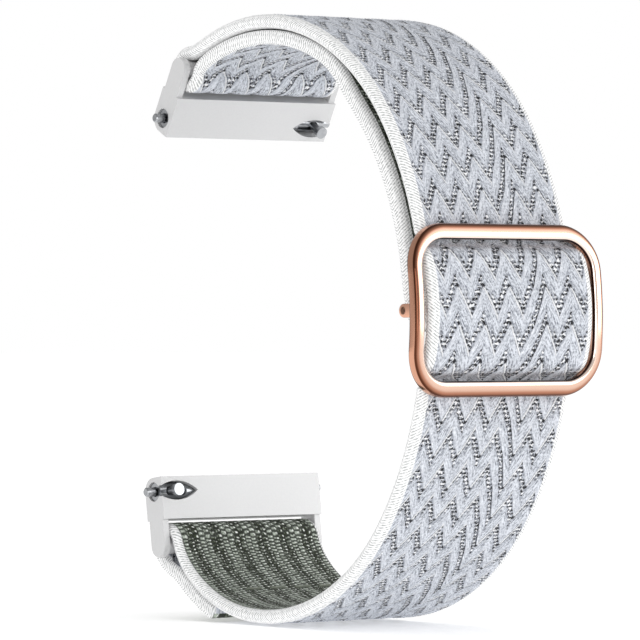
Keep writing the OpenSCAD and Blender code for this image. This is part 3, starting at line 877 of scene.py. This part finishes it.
def thread_finish():
    m, tree, shader = material("sewing_thread", Roughness=0.7, Sheen_Weight=0.2)
    coordinates = tree.nodes.new("ShaderNodeTexCoord")
    twist = noise(tree, coordinates.outputs["Object"], THREAD_GRAIN)
    tone = blended(tree, twist, srgb(96, 102, 88), srgb(134, 140, 128))
    tree.links.new(tone, shader.inputs["Base Color"])
    return m


def dress(obj, finish):
    obj.data.materials.clear()
    obj.data.materials.append(finish)


chevron_webbing = webbing_finish("wide")
lower_webbing = webbing_finish("narrow")
gold = rose_gold()
ring_painted_light = ring_gold_painted_light()
satin = link_steel()
steel = bar_steel()
thread = thread_finish()
dress(lower_cloth, lower_webbing)
for cloth in (window_cloth, upper_cloth, inner_cloth):
    dress(cloth, chevron_webbing)
dress(buckle_ring, ring_painted_light)
dress(buckle_ears, gold)
dress(NODES["buckle_crossbar"], gold)
for side in ("upper", "lower"):
    dress(NODES[side + "_link"], satin)
    for part in ("bar_tube", "release_plunger", "release_knob", "plain_plunger"):
        dress(NODES[f"{side}_{part}"], steel)
for coil in coils:
    dress(coil, steel)
for seam in ("lower_end_seam", "end_loop_seam"):
    dress(NODES[seam], thread)

# What each piece moves with
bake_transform(lower_cloth)
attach(window_cloth, "buckle")
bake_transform(upper_cloth)
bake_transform(inner_cloth)
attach(buckle_ring, "buckle")
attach(buckle_ears, "buckle")

# Studio
AIM = Vector((0, -12.97, -1.34)) * MM
DISTANCE = 0.475
AZIMUTH = math.radians(-38)
# WORLD_SOFT lights matt surfaces; the two MIRRORED strengths are what polished ones reflect.
# FLOOR_WHITENED is the floor's glow for the camera and FLOOR_LIFT its glow on the band.
WORLD_SOFT = 0.8
WORLD_MIRRORED = 0.62
WINDOW_MIRRORED = 1.0
WINDOW_TURN = math.radians(38)
FLOOR_WHITENED = 0.3
FLOOR_LIFT = 0.42
PHOTO_PX = 640
FOCAL_PX = 4877
SHIFT_PX = (2, -1)
SENSOR_W = 36
KEY_PLACE = Vector((-0.48, -0.38, 0.03))
BUCKLE_LAMP_PLACE = Vector((0.37, -0.51, 0.0))


def studio_floor():
    bm = bmesh.new()
    bmesh.ops.create_grid(bm, x_segments=1, y_segments=1, size=3)
    bmesh.ops.translate(bm, verts=bm.verts, vec=(0, 0, cad_box[0][2] - 0.0002))
    mesh = bpy.data.meshes.new("studio_floor")
    bm.to_mesh(mesh)
    bm.free()
    floor_obj = bpy.data.objects.new("studio_floor", mesh)
    bpy.context.scene.collection.objects.link(floor_obj)
    m, tree, shader = material("pale_floor", Roughness=0.9, Specular_IOR_Level=0.0)
    shader.inputs["Base Color"].default_value = (0.96, 0.96, 0.96, 1)
    shader.inputs["Emission Color"].default_value = (1, 1, 1, 1)
    seen = Level(tree, tree.nodes.new("ShaderNodeLightPath").outputs["Is Camera Ray"])
    lift = seen * (FLOOR_WHITENED - FLOOR_LIFT) + FLOOR_LIFT
    tree.links.new(lift.out, shader.inputs["Emission Strength"])
    mesh.materials.append(m)


def softbox(name, position, size, strength):
    lamp = bpy.data.lights.new(name, "AREA")
    lamp.shape = "RECTANGLE"
    lamp.size, lamp.size_y = size
    lamp.energy = strength
    obj = bpy.data.objects.new(name, lamp)
    obj.location = position
    obj.rotation_euler = (AIM - obj.location).to_track_quat("-Z", "Y").to_euler()
    bpy.context.scene.collection.objects.link(obj)


def studio_world():
    world = bpy.data.worlds.new("studio")
    bpy.context.scene.world = world
    world.use_nodes = True
    tree = world.node_tree
    background = tree.nodes["Background"]
    paths = tree.nodes.new("ShaderNodeLightPath")
    seen = Level(tree, paths.outputs["Is Camera Ray"])
    mirrored = Level(tree, paths.outputs["Is Glossy Ray"])
    coordinates = tree.nodes.new("ShaderNodeTexCoord")
    split = tree.nodes.new("ShaderNodeSeparateXYZ")
    tree.links.new(coordinates.outputs["Generated"], split.inputs[0])
    dx, dy, dz = (Level(tree, split.outputs[i]) for i in range(3))
    across = dx * math.cos(WINDOW_TURN) + dy * math.sin(WINDOW_TURN)
    toward = dx * math.sin(WINDOW_TURN) - dy * math.cos(WINDOW_TURN)
    window = ((1 - rise(absolute(across), 0.25, 0.5)) * (1 - rise(absolute(dz), 0.5, 0.75))
              * rise(toward, 0.0, 0.1))
    sides = rise(toward, -0.1, 0.6) * 0.25 + 0.75
    polish = sides * WORLD_MIRRORED + window * WINDOW_MIRRORED
    strength = seen * (1 - WORLD_SOFT) + mirrored * (polish - WORLD_SOFT) + WORLD_SOFT
    background.inputs["Color"].default_value = (1, 1, 1, 1)
    tree.links.new(strength.out, background.inputs["Strength"])


def photo_camera():
    data = bpy.data.cameras.new("photo_camera")
    data.sensor_width = SENSOR_W
    data.lens = FOCAL_PX / PHOTO_PX * SENSOR_W
    data.shift_x = SHIFT_PX[0] / PHOTO_PX
    data.shift_y = SHIFT_PX[1] / PHOTO_PX
    data.clip_start = 0.05
    camera = bpy.data.objects.new("photo_camera", data)
    away = Vector((math.sin(AZIMUTH), -math.cos(AZIMUTH), 0))
    camera.location = AIM + away * DISTANCE
    camera.rotation_euler = (math.pi / 2, 0, AZIMUTH)
    bpy.context.scene.collection.objects.link(camera)
    bpy.context.scene.camera = camera


studio_floor()
studio_world()
softbox("key_softbox", KEY_PLACE, (0.4, 0.2), 0.65)
softbox("buckle_softbox", BUCKLE_LAMP_PLACE, (0.45, 0.45), 1.35)
photo_camera()
bpy.context.scene.view_settings.view_transform = "Standard"
